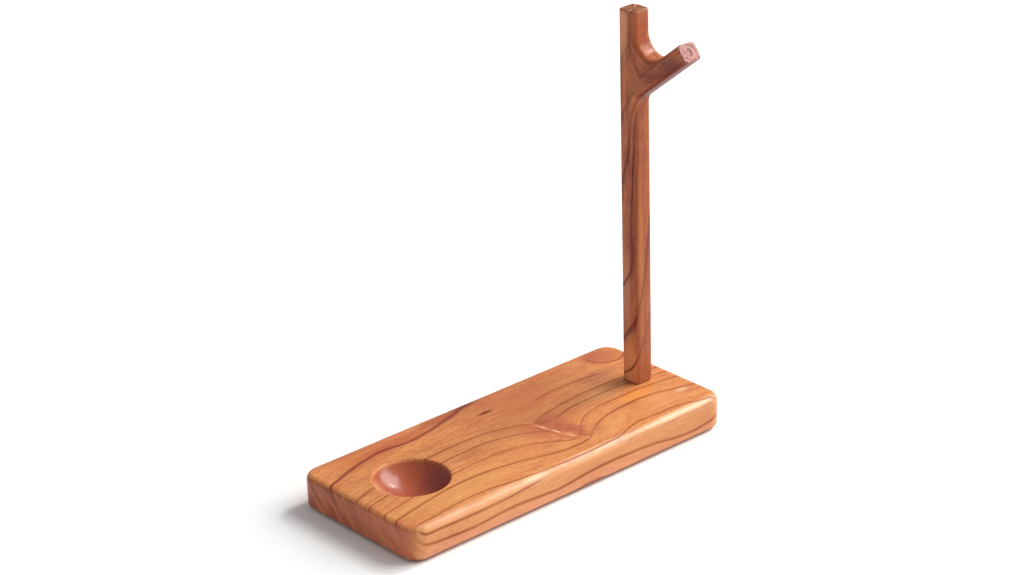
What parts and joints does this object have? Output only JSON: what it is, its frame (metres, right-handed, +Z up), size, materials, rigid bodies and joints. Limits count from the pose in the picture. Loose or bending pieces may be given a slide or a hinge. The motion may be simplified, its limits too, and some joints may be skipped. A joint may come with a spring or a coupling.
{
  "type": "razor stand",
  "caption": "Small wood stand: a rounded board with a round dish at one end and a slim forked post at the other, from which a razor or shaving brush hangs.",
  "frame": {"origin": "on the surface that the pads stand on, under the middle of the board", "axes": "+Z up; +X along the board from the dish to the post; the branch reaches out over the board's -Y edge"},
  "size_m": [0.18, 0.075, 0.1905],
  "materials": {
    "board_wood": "satin lacquer over warm orange-brown hardwood with fine dark growth lines",
    "post_wood": "satin lacquer over redder brown hardwood, grain along the post",
    "zinc_plated_steel": "bright zinc plating",
    "black_rubber": "matt moulded"
  },
  "bodies": {
    "root": {"base_board": "board_wood", "forked_post": "post_wood", "post_screw": "zinc_plated_steel", "screw_washer": "zinc_plated_steel", "foot_pad_dish_end_front": "black_rubber", "foot_pad_dish_end_back": "black_rubber", "foot_pad_post_end_front": "black_rubber", "foot_pad_post_end_back": "black_rubber"}
  },
  "joints": []
}
